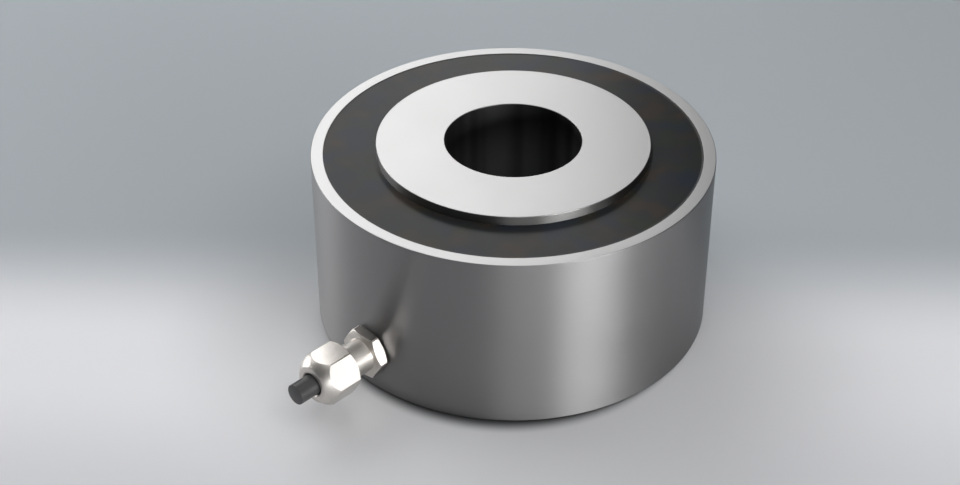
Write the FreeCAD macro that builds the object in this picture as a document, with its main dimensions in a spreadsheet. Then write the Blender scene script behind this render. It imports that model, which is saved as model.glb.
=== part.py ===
import FreeCAD, Part

import math
import os
import re

import Sketcher
from FreeCAD import Placement, Rotation, Vector

# Annular compression load cell with a cable gland.
# Millimetres, +Z up. The origin is on the bore's axis, in the base face that stands on the support.
# The gland points along -Y, so everything in it is measured outwards from the bore's axis.

# Driving sizes
SIZES = {
    # clearances shared by all fitted pieces
    "fit_gap": (0.02, "radial clearance of a piece that is pressed or seated in another"),
    "edge_break": (0.3, "chamfer on the turned edges"),
    "chamfer_reach": (0.3, "how far a chamfer's outline runs past the hexagon's corner"),
    # radial stack, from the bore outwards; it adds up to a sleeve 115 across
    "bore_diameter": (39, "through bore, clearance for an M36 rod"),
    "ring_width": (19.5, "loading ring, from the bore to its outside"),
    "fill_width": (15, "filling, from the loading ring to the rim"),
    "rim_width": (3.5, "wall of the sleeve at its rim"),
    # sleeve
    "sleeve_height": (53, "sleeve from its bottom edge to its rim"),
    "base_step": (0.4, "the sleeve ends this far above the base face"),
    "seat_width": (1, "shoulders that carry the cover ring"),
    # spring element
    "ring_proud": (2.6, "loading ring above the rim"),
    "ring_skirt": (5, "loading ring below the cover ring"),
    "column_wall": (11.5, "wall of the measuring column at its ends"),
    "waist_depth": (2, "how much the column narrows between its ends"),
    "waist_taper": (3, "height over which it narrows, and of the plain ends"),
    "column_fillet": (1.5, "fillets on the column"),
    "flange_thickness": (6.5, "base flange"),
    "flange_seal_section": (1.6, "O-ring in the flange's rim"),
    "flange_seal_width": (2.2, "groove of that O-ring"),
    # cover and filling
    "fill_recess": (0.15, "filling below the rim"),
    "fill_depth": (4, "filling compound"),
    "cover_thickness": (1.2, "cover ring at its edges"),
    "cover_thinning": (0.6, "relief under the cover ring that lets it flex"),
    "cover_land": (3, "full thickness at each edge of the cover ring"),
    # strain gauges and their leads
    "gauge_height": (12, "gauge carrier, along the column"),
    "gauge_angle": (24, "gauge carrier, round the column"),
    "gauge_thickness": (0.15, "gauge carrier"),
    "grid_height": (5, "measuring grid, along the column"),
    "grid_angle": (12, "measuring grid and solder strip, round the column"),
    "grid_thickness": (0.1, "grid above the carrier"),
    "strip_height": (1.6, "solder strip, along the column"),
    "strip_thickness": (0.3, "solder strip above the carrier"),
    "gauge_lead_diameter": (1, "flat lead of a gauge, drawn round"),
    "lead_pad_inset": (2, "gauge leads' solder points from the board's inner edge"),
    "bend_radius": (1.4, "bends of leads and cores"),
    # terminal board
    "board_gap": (2, "board off the column's foot"),
    "board_margin": (5, "board off the sleeve's inner wall"),
    "board_thickness": (1.6, "board"),
    "spacer_height": (1.8, "board above the flange"),
    "spacer_diameter": (5, "spacers under the board"),
    "screw_inset": (7, "board's screws from its outer edge"),
    "screw_diameter": (2.4, "screw shank"),
    "screw_hole_gap": (0.05, "radial gap of the shank in its tapped hole"),
    "screw_clearance": (0.15, "radial gap of the shank in board and spacer"),
    "screw_head_diameter": (4.5, "screw head"),
    "screw_head_height": (1.4, "screw head"),
    "screw_socket_flats": (1.5, "hexagon socket in the head"),
    "screw_grip": (3.8, "shank in the flange"),
    "resistor_length": (3.2, "chip resistor"),
    "resistor_width": (1.6, "chip resistor"),
    "resistor_height": (0.6, "chip resistor"),
    # cable
    "cable_diameter": (6, "jacket"),
    "cable_stub": (6, "jacket outside the gland, as it is cut off"),
    "cable_protrusion": (1.5, "jacket past the gland inside the housing"),
    "core_diameter": (1.1, "insulated core"),
    "drain_diameter": (0.8, "drain wire"),
    "core_spread": (1.1, "cores from the cable's axis, sideways and up or down"),
    "core_pad_inset": (1.5, "solder points of the lower cores from the board's outer edge"),
    "core_pad_step": (1.5, "from there to the drain's, and on to the upper cores'"),
    # gland
    "gland_above_board": (3.2, "gland's axis above the board, so that the cores come down to it"),
    "gland_thread": (10, "outside of both threads, M10"),
    "thread_depth": (0.6, "depth of thread, drawn plain at half of it"),
    "entry_protrusion": (2, "entry thread past the sleeve's inner wall"),
    "collar_gap": (0.1, "collar off the sleeve's surface"),
    "collar_flats": (13.4, "collar across flats"),
    "collar_thickness": (3.4, "collar"),
    "collar_turn": (-2.4, "collar's turn about the gland's axis, in degrees"),
    "collar_face_radius": (6.5, "flat part of the collar's faces"),
    "chamfer_slope": (0.577, "slope of the collar's chamfers"),
    "neck_length": (6.7, "from the collar to the nut"),
    "nut_gap": (0.25, "gap between neck and nut"),
    "thread_engagement": (6.5, "thread in the nut"),
    "gland_seal_section": (1.2, "O-ring under the collar"),
    "cable_clearance": (0.15, "radial gap of the cable in the gland"),
    "insert_radius": (4.1, "seat of the sealing insert and cage in the gland"),
    "insert_depth": (10.1, "that seat's depth from the gland's front"),
    "insert_length": (6, "sealing insert"),
    "insert_taper": (0.6, "tapered ends of the sealing insert"),
    # clamping cage and nut
    "cage_flange": (0.8, "flange of the cage in front of the gland's thread"),
    "cage_gap": (0.1, "cage from the nut's cone"),
    "cage_setback": (0.6, "fingers end before the cone does"),
    "cage_slots": (6, "slots between the fingers"),
    "cage_slot_width": (0.8, "slots between the fingers"),
    "cone_length": (3, "nut's inner cone"),
    "nut_flats": (14, "nut across flats"),
    "nut_length": (11.5, "nut"),
    "nut_hole_clearance": (0.3, "radial gap of the cable in the nut's mouth"),
    "nut_face_radius": (5.1, "flat front face inside the dome"),
    "dome_margin": (0.5, "dome's radius beyond the nut's corners"),
    "nut_rear_radius": (6.95, "flat part of the nut's rear face"),
    "nut_rear_slope": (0.84, "slope of the rear chamfer"),
    "mouth_chamfer": (0.4, "chamfer of the nut's mouth"),
}

doc = FreeCAD.newDocument("compression_load_cell")
sheet = doc.addObject("Spreadsheet::Sheet", "Sizes")
for row, (alias, (size, meaning)) in enumerate(SIZES.items(), start=1):
    sheet.set(f"A{row}", alias)
    sheet.set(f"B{row}", str(size))
    sheet.set(f"C{row}", meaning)
    sheet.setAlias(f"B{row}", alias)
doc.recompute()


def bound(text):
    """Turn an expression over the sheet's names into one that a property can be bound to."""
    return re.sub(r"\b[a-z]+_\w+\b", lambda word: "Sizes." + word.group(), text)


def value(text):
    """Number that an expression over the sheet's names gives."""
    return float(sheet.evalExpression(bound(text)))


# Levels and radii that follow from the driving sizes
BORE_R = "(bore_diameter / 2)"
RING_R = f"({BORE_R} + ring_width)"
RIM_R = f"({RING_R} + fill_width)"
SLEEVE_R = f"({RIM_R} + rim_width)"
CAVITY_R = f"({RIM_R} - seat_width)"
FLANGE_R = f"({CAVITY_R} - fit_gap)"
SKIRT_R = f"({RING_R} + seat_width)"
FOOT_R = f"({BORE_R} + column_wall)"
COLUMN_R = f"({FOOT_R} - waist_depth)"
BOARD_INNER_R = f"({FOOT_R} + board_gap)"
BOARD_OUTER_R = f"({CAVITY_R} - board_margin)"
LEAD_PAD_R = f"({BOARD_INNER_R} + lead_pad_inset)"
CORE_PAD_R = f"({BOARD_OUTER_R} - core_pad_inset)"
SCREW_CIRCLE_R = f"({BOARD_OUTER_R} - screw_inset)"
RIM_TOP = "(base_step + sleeve_height)"
RING_TOP = f"({RIM_TOP} + ring_proud)"
FILL_TOP = f"({RIM_TOP} - fill_recess)"
COVER_TOP = f"({FILL_TOP} - fill_depth)"
COVER_SEAT = f"({COVER_TOP} - cover_thickness)"
SKIRT_BOTTOM = f"({COVER_SEAT} - ring_skirt)"
GAUGE_MIDDLE = f"((flange_thickness + {SKIRT_BOTTOM}) / 2)"
BOARD_BOTTOM = "(flange_thickness + spacer_height)"
BOARD_TOP = f"({BOARD_BOTTOM} + board_thickness)"
GLAND_LEVEL = f"({BOARD_TOP} + gland_above_board)"

# Stations of the gland, outwards from the bore's axis
ENTRY_END = f"({CAVITY_R} - entry_protrusion)"
CABLE_START = f"({ENTRY_END} - cable_protrusion)"
COLLAR_REAR = f"({SLEEVE_R} + collar_gap)"
SEAL_SEAT = f"({COLLAR_REAR} - gland_seal_section)"
COLLAR_FRONT = f"({COLLAR_REAR} + collar_thickness)"
NUT_REAR = f"({COLLAR_FRONT} + neck_length)"
BODY_FRONT = f"({NUT_REAR} + thread_engagement)"
INSERT_SEAT = f"({BODY_FRONT} - insert_depth)"
INSERT_END = f"({INSERT_SEAT} + insert_length)"
CONE_START = f"({BODY_FRONT} + cage_flange)"
CONE_END = f"({CONE_START} + cone_length)"
FINGER_END = f"({CONE_END} - cage_setback)"
NUT_FRONT = f"({NUT_REAR} + nut_length)"
CABLE_END = f"({NUT_FRONT} + cable_stub)"

# Radii in the gland
NECK_R = "(gland_thread / 2)"
THREAD_R = "(gland_thread / 2 - thread_depth / 2)"
TAPPED_R = f"({THREAD_R} + fit_gap)"
CABLE_R = "(cable_diameter / 2)"
GLAND_BORE_R = f"({CABLE_R} + cable_clearance)"
MOUTH_R = f"({CABLE_R} + nut_hole_clearance)"
COLLAR_CORNER_R = "(collar_flats / sqrt(3))"
NUT_CORNER_R = "(nut_flats / sqrt(3))"

# Angles in degrees; the gland's side of the cell lies at FRONT
QUARTER_TURN = 90
HALF_TURN = 180
FULL_TURN = 360
FRONT = -90

# The gland's pieces are drawn standing on +Z and laid along -Y at the gland's height
ALONG_GLAND = Placement(Vector(0, 0, value(GLAND_LEVEL)), Rotation(Vector(1, 0, 0), QUARTER_TURN))

# Two rims are the same edge if radius and level agree this closely
SAME_RIM = 1e-4
HEXAGON = 6


def start_body(name, placement=None):
    body = doc.addObject("PartDesign::Body", name)
    if placement:
        body.Placement = placement
    return body


def origin_feature(body, role):
    return [feature for feature in body.Origin.OriginFeatures if feature.Role == role][0]


def sketch_on(body, name, role):
    """Sketch on one of the body's own origin planes."""
    sketch = body.newObject("Sketcher::SketchObject", name)
    sketch.AttachmentSupport = [(origin_feature(body, role), "")]
    sketch.MapMode = "FlatFace"
    return sketch


def arc_between(start, end, radius, side):
    """Arc from start to end whose centre lies to the left (side 1) or right (side -1) of the chord."""
    chord = end - start
    height = math.sqrt(radius**2 - chord.Length**2 / 4)
    centre = (start + end) / 2 + Vector(-chord.y, chord.x, 0).normalize() * height * side
    angles = [math.atan2(point.y - centre.y, point.x - centre.x) for point in (start, end)]
    if side < 0:
        angles.reverse()
    return Part.ArcOfCircle(Part.Circle(centre, Vector(0, 0, 1), radius), *angles)


def draw(sketch, corners, arcs=None, closed=True):
    """Outline through corners given as pairs of expressions.

    arcs gives, for the number of a side, the expression of its radius and the side of its centre.
    """
    arcs = arcs or {}
    points = [Vector(value(x), value(y), 0) for x, y in corners]
    sides = len(points) if closed else len(points) - 1
    ends = []
    for side in range(sides):
        start, end = points[side], points[(side + 1) % len(points)]
        if side in arcs:
            radius, centre_side = arcs[side]
            sketch.addGeometry(arc_between(start, end, value(radius), centre_side))
            ends.append((1, 2) if centre_side > 0 else (2, 1))
        else:
            sketch.addGeometry(Part.LineSegment(start, end))
            ends.append((1, 2))
    for side in range(sides if closed else sides - 1):
        following = (side + 1) % sides
        joint = ("Coincident", side, ends[side][1], following, ends[following][0])
        sketch.addConstraint(Sketcher.Constraint(*joint))
    for corner, texts in enumerate(corners):
        side = min(corner, sides - 1)
        end = ends[side][0] if corner < sides else ends[side][1]
        for kind, axis_line, text in zip(("DistanceX", "DistanceY"), (-2, -1), texts):
            if text == "0":
                sketch.addConstraint(Sketcher.Constraint("PointOnObject", side, end, axis_line))
                continue
            name = f"{kind[-1].lower()}{corner}"
            index = sketch.addConstraint(Sketcher.Constraint(kind, -1, 1, side, end, value(text)))
            sketch.renameConstraint(index, name)
            sketch.setExpression(f"Constraints.{name}", bound(text))
    for side, (radius, _) in arcs.items():
        index = sketch.addConstraint(Sketcher.Constraint("Radius", side, value(radius)))
        sketch.renameConstraint(index, f"radius{side}")
        sketch.setExpression(f"Constraints.radius{side}", bound(radius))


def turn(body, name, corners, arcs=None, cut=False, angle=None):
    """Turned feature: an outline in the XZ plane that revolves about the body's Z axis."""
    section = sketch_on(body, name + "_section", "XZ_Plane")
    draw(section, corners, arcs)
    feature = body.newObject("PartDesign::Groove" if cut else "PartDesign::Revolution", name)
    feature.Profile = section
    feature.ReferenceAxis = (section, ["V_Axis"])
    if angle:
        feature.Midplane = True
        feature.setExpression("Angle", bound(angle))
    else:
        feature.Angle = FULL_TURN
    doc.recompute()
    return feature


def ring_section(inner, outer, bottom, top):
    """Rectangular section of a ring."""
    return [(inner, bottom), (outer, bottom), (outer, top), (inner, top)]


def bevel(body, name, rims, kind="Chamfer", size="edge_break"):
    """Chamfer or fillet the round edges that have the radius and level of one of the rims."""
    base = body.Tip
    wanted = [(value(radius), value(level)) for radius, level in rims]
    edges = []
    for number, edge in enumerate(base.Shape.Edges, start=1):
        if not isinstance(edge.Curve, Part.Circle):
            continue
        spot = (edge.Curve.Radius, edge.Curve.Center.z)
        if any(math.dist(spot, rim) < SAME_RIM for rim in wanted):
            edges.append(f"Edge{number}")
    feature = body.newObject(f"PartDesign::{kind}", name)
    feature.Base = (base, edges)
    feature.setExpression("Size" if kind == "Chamfer" else "Radius", bound(size))
    doc.recompute()
    return feature


def drill(body, name, radius, depth, placement):
    """Round hole from the placement's origin along its Z axis."""
    before = body.Shape.Volume
    hole = body.newObject("PartDesign::SubtractiveCylinder", name)
    hole.setExpression("Radius", bound(radius))
    hole.setExpression("Height", bound(depth))
    hole.Placement = placement
    doc.recompute()
    if body.Shape.Volume >= before:
        raise ValueError(f"{name} cuts nothing")
    return hole


def repeat_round(body, name, feature, count):
    """Copies of a feature, evenly round the body's Z axis."""
    pattern = body.newObject("PartDesign::PolarPattern", name)
    pattern.Originals = [feature]
    pattern.Axis = (origin_feature(body, "Z_Axis"), [""])
    pattern.Angle = FULL_TURN
    if isinstance(count, str):
        pattern.setExpression("Occurrences", bound(count))
    else:
        pattern.Occurrences = count
    body.Tip = pattern
    doc.recompute()
    return pattern


def polar(radius, angle, level, turned=0):
    """Placement at a radius, an angle and a level, turned about Z by the angle and more."""
    reach, turn_angle = value(radius), math.radians(angle)
    spot = Vector(reach * math.cos(turn_angle), reach * math.sin(turn_angle), value(level))
    return Placement(spot, Rotation(Vector(0, 0, 1), angle + turned))


def primitive(kind, name, placement=None, **sizes):
    """Part primitive with its sizes bound to the sheet."""
    solid = doc.addObject(f"Part::{kind}", name)
    for size, text in sizes.items():
        solid.setExpression(size, bound(text))
    if placement:
        solid.Placement = placement
    return solid


def group(name, solids):
    compound = doc.addObject("Part::Compound", name)
    compound.Links = solids
    return compound


SCREW_ANGLES = [45, 135, 225, 315]
# two resistors beside the cable's solder points, one at each side, two at the back
RESISTOR_ANGLES = [FRONT + 20, FRONT - 20, -20, -160, 70, 110]


def make_housing_sleeve():
    """Tube with a shoulder for the cover ring, and the gland's spot-faced tapped hole."""
    body = start_body("housing_sleeve")
    corners = [
        (CAVITY_R, "base_step"), (SLEEVE_R, "base_step"), (SLEEVE_R, RIM_TOP),
        (RIM_R, RIM_TOP), (RIM_R, COVER_SEAT), (CAVITY_R, COVER_SEAT),
    ]
    turn(body, "tube", corners)
    rims = [(SLEEVE_R, "base_step"), (SLEEVE_R, RIM_TOP), (CAVITY_R, "base_step")]
    bevel(body, "broken_edges", rims)
    outward = Rotation(Vector(1, 0, 0), QUARTER_TURN)
    level = value(GLAND_LEVEL)
    inside = Placement(Vector(0, -value(COLUMN_R), level), outward)
    drill(body, "tapped_hole", TAPPED_R, f"{SLEEVE_R} - {COLUMN_R}", inside)
    seat = Placement(Vector(0, -value(SEAL_SEAT), level), outward)
    seat_radius = f"{TAPPED_R} + gland_seal_section + fit_gap"
    drill(body, "seal_seat", seat_radius, f"{SLEEVE_R} - {SEAL_SEAT}", seat)
    return body


def make_spring_element():
    """Loading ring, waisted measuring column and base flange, turned from one piece."""
    body = start_body("spring_element")
    groove_r = f"({CAVITY_R} - flange_seal_section)"
    groove_low = "((flange_thickness - flange_seal_width) / 2)"
    groove_high = "((flange_thickness + flange_seal_width) / 2)"
    low_end, low_waist = "(flange_thickness + waist_taper)", "(flange_thickness + waist_taper * 2)"
    high_end, high_waist = f"({SKIRT_BOTTOM} - waist_taper)", f"({SKIRT_BOTTOM} - waist_taper * 2)"
    corners = [
        (BORE_R, "0"), (FLANGE_R, "0"), (FLANGE_R, groove_low), (groove_r, groove_low),
        (groove_r, groove_high), (FLANGE_R, groove_high), (FLANGE_R, "flange_thickness"),
        (FOOT_R, "flange_thickness"), (FOOT_R, low_end), (COLUMN_R, low_waist),
        (COLUMN_R, high_waist), (FOOT_R, high_end), (FOOT_R, SKIRT_BOTTOM), (SKIRT_R, SKIRT_BOTTOM),
        (SKIRT_R, COVER_SEAT), (RING_R, COVER_SEAT), (RING_R, RING_TOP), (BORE_R, RING_TOP),
    ]
    turn(body, "turned_blank", corners)
    column_rims = [
        (FOOT_R, "flange_thickness"), (FOOT_R, low_end), (COLUMN_R, low_waist),
        (COLUMN_R, high_waist), (FOOT_R, high_end), (FOOT_R, SKIRT_BOTTOM),
    ]
    bevel(body, "column_fillets", column_rims, "Fillet", "column_fillet")
    rims = [(BORE_R, "0"), (FLANGE_R, "0"), (RING_R, RING_TOP), (BORE_R, RING_TOP)]
    bevel(body, "broken_edges", rims)
    depth = "screw_grip + edge_break"
    spot = polar(SCREW_CIRCLE_R, SCREW_ANGLES[0], f"flange_thickness - ({depth})")
    hole = drill(body, "screw_hole", "screw_diameter / 2 + screw_hole_gap", depth, spot)
    repeat_round(body, "screw_holes", hole, len(SCREW_ANGLES))
    return body


def make_flange_o_ring():
    """O-ring between the flange and the sleeve."""
    level = Placement(Vector(0, 0, value("flange_thickness / 2")), Rotation())
    middle = f"{CAVITY_R} - flange_seal_section / 2"
    radius = "flange_seal_section / 2"
    return primitive("Torus", "flange_o_ring", level, Radius1=middle, Radius2=radius)


def make_cover_ring():
    """Thin ring on both shoulders, relieved underneath so that it flexes with the loading ring."""
    body = start_body("cover_ring")
    inner, outer = f"({RING_R} + fit_gap)", f"({RIM_R} - fit_gap)"
    relief = f"({COVER_SEAT} + cover_thinning)"
    corners = [
        (inner, COVER_SEAT), (f"{inner} + cover_land", COVER_SEAT), (f"{inner} + cover_land", relief),
        (f"{outer} - cover_land", relief), (f"{outer} - cover_land", COVER_SEAT),
        (outer, COVER_SEAT), (outer, COVER_TOP), (inner, COVER_TOP),
    ]
    turn(body, "ring", corners)
    return body


def make_potting_seal():
    """Filling compound on the cover ring, almost flush with the rim."""
    body = start_body("potting_seal")
    turn(body, "fill", ring_section(f"{RING_R} + fit_gap", f"{RIM_R} - fit_gap", COVER_TOP, FILL_TOP))
    return body


GAUGE_R = f"({COLUMN_R} + fit_gap)"
CARRIER_R = f"({GAUGE_R} + gauge_thickness)"
CARRIER_BOTTOM = f"({GAUGE_MIDDLE} - gauge_height / 2)"
STRIP_LEVEL = f"({CARRIER_BOTTOM} + strip_height)"


def make_strain_gauge(number, angle):
    """Foil gauge: carrier, measuring grid and solder strip, all curved round the column."""
    body = start_body(f"strain_gauge_{number}", polar("0", angle, "0"))
    top = f"{CARRIER_BOTTOM} + gauge_height"
    carrier = ring_section(GAUGE_R, CARRIER_R, CARRIER_BOTTOM, top)
    turn(body, "carrier", carrier, angle="gauge_angle")
    low, high = f"{GAUGE_MIDDLE} - grid_height / 2", f"{GAUGE_MIDDLE} + grid_height / 2"
    grid = ring_section(GAUGE_R, f"{CARRIER_R} + grid_thickness", low, high)
    turn(body, "grid", grid, angle="grid_angle")
    low, high = f"{STRIP_LEVEL} - strip_height / 2", f"{STRIP_LEVEL} + strip_height / 2"
    strip = ring_section(GAUGE_R, f"{CARRIER_R} + strip_thickness", low, high)
    turn(body, "strip", strip, angle="grid_angle")
    return body


def make_bent_wire(name, diameter, rise, reach, placement):
    """Wire that rises from its solder point, bends and runs level along the placement's X axis."""
    body = start_body(name, placement)
    path = sketch_on(body, "path", "XZ_Plane")
    corners = [("0", "0"), ("0", f"{rise} - bend_radius"), ("bend_radius", rise), (reach, rise)]
    draw(path, corners, {1: ("bend_radius", -1)}, closed=False)
    profile = sketch_on(body, "profile", "XY_Plane")
    profile.addGeometry(Part.Circle(Vector(), Vector(0, 0, 1), value(diameter) / 2))
    profile.addConstraint(Sketcher.Constraint("Coincident", 0, 3, -1, 1))
    size = profile.addConstraint(Sketcher.Constraint("Diameter", 0, value(diameter)))
    profile.renameConstraint(size, "diameter")
    profile.setExpression("Constraints.diameter", bound(diameter))
    doc.recompute()
    wire = body.newObject("PartDesign::AdditivePipe", "wire")
    wire.Profile = profile
    wire.Spine = path
    doc.recompute()
    return body


def make_gauge_lead(number, angle):
    """Lead from a gauge's solder strip, over and down to the board."""
    reach = f"({LEAD_PAD_R} - ({CARRIER_R} + strip_thickness + fit_gap))"
    rise = f"({STRIP_LEVEL} - ({BOARD_TOP} + fit_gap))"
    spot = polar(LEAD_PAD_R, angle, f"{BOARD_TOP} + fit_gap", turned=HALF_TURN)
    return make_bent_wire(f"gauge_lead_{number}", "gauge_lead_diameter", rise, reach, spot)


def make_core(name, diameter, side, up, steps):
    """Core from the cable's inner end, inwards and down to the board."""
    pad = f"({CORE_PAD_R} - core_pad_step * {steps})"
    rise = f"({GLAND_LEVEL} + core_spread * {up} - ({BOARD_TOP} + fit_gap))"
    reach = f"({CABLE_START} - {pad} - fit_gap)"
    spot = Vector(side * value("core_spread"), -value(pad), value(f"{BOARD_TOP} + fit_gap"))
    return make_bent_wire(name, diameter, rise, reach, Placement(spot, Rotation(Vector(0, 0, 1), FRONT)))


def make_terminal_board():
    """Annular circuit board with four screw holes."""
    body = start_body("terminal_board")
    turn(body, "board", ring_section(BOARD_INNER_R, BOARD_OUTER_R, BOARD_BOTTOM, BOARD_TOP))
    spot = polar(SCREW_CIRCLE_R, SCREW_ANGLES[0], BOARD_BOTTOM)
    hole = drill(body, "screw_hole", "screw_diameter / 2 + screw_clearance", "board_thickness", spot)
    repeat_round(body, "screw_holes", hole, len(SCREW_ANGLES))
    return body


def make_board_spacers():
    """Four tubes between the flange and the board."""
    solids = []
    for number, angle in enumerate(SCREW_ANGLES, start=1):
        spot = polar(SCREW_CIRCLE_R, angle, "flange_thickness")
        outside = primitive("Cylinder", f"spacer_outside_{number}", spot,
                            Radius="spacer_diameter / 2", Height="spacer_height")
        hole = primitive("Cylinder", f"spacer_hole_{number}", spot,
                         Radius="screw_diameter / 2 + screw_clearance", Height="spacer_height")
        spacer = doc.addObject("Part::Cut", f"spacer_{number}")
        spacer.Base, spacer.Tool = outside, hole
        solids.append(spacer)
    return group("board_spacers", solids)


def make_board_screws():
    """Four socket-head screws through the board and the spacers into the flange."""
    solids = []
    for number, angle in enumerate(SCREW_ANGLES, start=1):
        head_spot = polar(SCREW_CIRCLE_R, angle, BOARD_TOP)
        shank_spot = polar(SCREW_CIRCLE_R, angle, "flange_thickness - screw_grip")
        socket_spot = polar(SCREW_CIRCLE_R, angle, f"{BOARD_TOP} + screw_head_height / 2")
        head = primitive("Cylinder", f"screw_head_{number}", head_spot,
                         Radius="screw_head_diameter / 2", Height="screw_head_height")
        shank_length = f"screw_grip + {BOARD_TOP} - flange_thickness"
        shank = primitive("Cylinder", f"screw_shank_{number}", shank_spot,
                          Radius="screw_diameter / 2", Height=shank_length)
        blank = doc.addObject("Part::Fuse", f"screw_blank_{number}")
        blank.Base, blank.Tool = head, shank
        socket = primitive("Prism", f"screw_socket_{number}", socket_spot,
                           Circumradius="screw_socket_flats / sqrt(3)", Height="screw_head_height")
        socket.Polygon = HEXAGON
        screw = doc.addObject("Part::Cut", f"screw_{number}")
        screw.Base, screw.Tool = blank, socket
        solids.append(screw)
    return group("board_screws", solids)


def make_trim_resistors():
    """Chip resistors that balance the bridge, on the board."""
    solids = []
    corner_offset = Vector(-value("resistor_length / 2"), -value("resistor_width / 2"), 0)
    corner = Placement(corner_offset, Rotation())
    for number, angle in enumerate(RESISTOR_ANGLES, start=1):
        spot = polar(SCREW_CIRCLE_R, angle, f"{BOARD_TOP} + fit_gap") * corner
        solids.append(primitive("Box", f"resistor_{number}", spot, Length="resistor_length",
                                Width="resistor_width", Height="resistor_height"))
    return group("trim_resistors", solids)


def make_cable():
    """Stub of jacketed cable, from inside the housing to its cut end."""
    along = ALONG_GLAND * Placement(Vector(0, 0, value(CABLE_START)), Rotation())
    length = f"{CABLE_END} - {CABLE_START}"
    return primitive("Cylinder", "cable", along, Radius=CABLE_R, Height=length)


def add_hexagon(body, name, corner_radius, bottom, height, turned=0):
    """Hexagonal prism on the body's Z axis."""
    prism = body.newObject("PartDesign::AdditivePrism", name)
    prism.Polygon = HEXAGON
    prism.setExpression("Circumradius", bound(corner_radius))
    prism.setExpression("Height", bound(height))
    prism.Placement = Placement(Vector(), Rotation(Vector(0, 0, 1), turned))
    prism.setExpression("Placement.Base.z", bound(bottom))
    doc.recompute()
    return prism


def chamfer_hexagon(body, name, corner_radius, face_radius, level, slope, direction):
    """Turned chamfer on one end of a hexagon; direction says which way its corners are set back."""
    reach = f"({corner_radius} + chamfer_reach)"
    setback = f"({reach} - {face_radius}) * {slope}"
    corners = [(face_radius, level), (reach, level), (reach, f"{level} {direction} {setback}")]
    if direction == "+":
        corners.reverse()
    turn(body, name, corners, cut=True)


def make_gland_body():
    """Entry thread, hexagonal collar, smooth neck and front thread, with a stepped bore."""
    body = start_body("gland_body", ALONG_GLAND)
    add_hexagon(body, "collar", COLLAR_CORNER_R, COLLAR_REAR, "collar_thickness", value("collar_turn"))
    face_r, slope = "collar_face_radius", "chamfer_slope"
    chamfer_hexagon(body, "front_chamfer", COLLAR_CORNER_R, face_r, COLLAR_FRONT, slope, "-")
    chamfer_hexagon(body, "rear_chamfer", COLLAR_CORNER_R, face_r, COLLAR_REAR, slope, "+")
    neck_end = f"{NUT_REAR} - nut_gap"
    stem = [
        (GLAND_BORE_R, ENTRY_END), (THREAD_R, ENTRY_END), (THREAD_R, COLLAR_REAR),
        (NECK_R, COLLAR_REAR), (NECK_R, neck_end), (THREAD_R, neck_end), (THREAD_R, BODY_FRONT),
        (GLAND_BORE_R, BODY_FRONT),
    ]
    turn(body, "stem", stem)
    bore = [
        ("0", ENTRY_END), (GLAND_BORE_R, ENTRY_END), (GLAND_BORE_R, INSERT_SEAT),
        ("insert_radius", INSERT_SEAT), ("insert_radius", BODY_FRONT), ("0", BODY_FRONT),
    ]
    turn(body, "stepped_bore", bore, cut=True)
    return body


def make_gland_o_ring():
    """O-ring in the spot face under the collar."""
    level = value(f"{SEAL_SEAT} + gland_seal_section / 2")
    along = ALONG_GLAND * Placement(Vector(0, 0, level), Rotation())
    middle = f"{TAPPED_R} + gland_seal_section / 2"
    radius = "gland_seal_section / 2"
    return primitive("Torus", "gland_o_ring", along, Radius1=middle, Radius2=radius)


def make_sealing_insert():
    """Rubber bush round the cable, tapered at both ends."""
    body = start_body("sealing_insert", ALONG_GLAND)
    inner, outer = f"({CABLE_R} + fit_gap)", "(insert_radius - fit_gap)"
    corners = [
        (inner, INSERT_SEAT), (f"{outer} - insert_taper / 2", INSERT_SEAT),
        (outer, f"{INSERT_SEAT} + insert_taper"), (outer, f"{INSERT_END} - insert_taper"),
        (f"{outer} - insert_taper / 2", INSERT_END), (inner, INSERT_END),
    ]
    turn(body, "bush", corners)
    return body


def make_clamping_cage():
    """Slotted cage whose fingers the nut's cone closes on the cable."""
    body = start_body("clamping_cage", ALONG_GLAND)
    inner, flange_r = f"({CABLE_R} + fit_gap * 2)", f"({TAPPED_R} - cage_gap)"
    narrowing = f"({TAPPED_R} - {MOUTH_R}) / cone_length"
    tip_r = f"({MOUTH_R} + {narrowing} * cage_setback - cage_gap)"
    corners = [
        (inner, INSERT_END), ("insert_radius - fit_gap", INSERT_END),
        ("insert_radius - fit_gap", BODY_FRONT), (flange_r, BODY_FRONT), (flange_r, CONE_START),
        (tip_r, FINGER_END), (inner, FINGER_END),
    ]
    turn(body, "cage", corners)
    slot = body.newObject("PartDesign::SubtractiveBox", "slot")
    slot.setExpression("Length", bound(TAPPED_R))
    slot.setExpression("Width", bound("cage_slot_width"))
    slot.setExpression("Height", bound(f"{FINGER_END} - {BODY_FRONT}"))
    slot.setExpression("Placement.Base.y", bound("-cage_slot_width / 2"))
    slot.setExpression("Placement.Base.z", bound(BODY_FRONT))
    doc.recompute()
    repeat_round(body, "slots", slot, "cage_slots")
    return body


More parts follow.
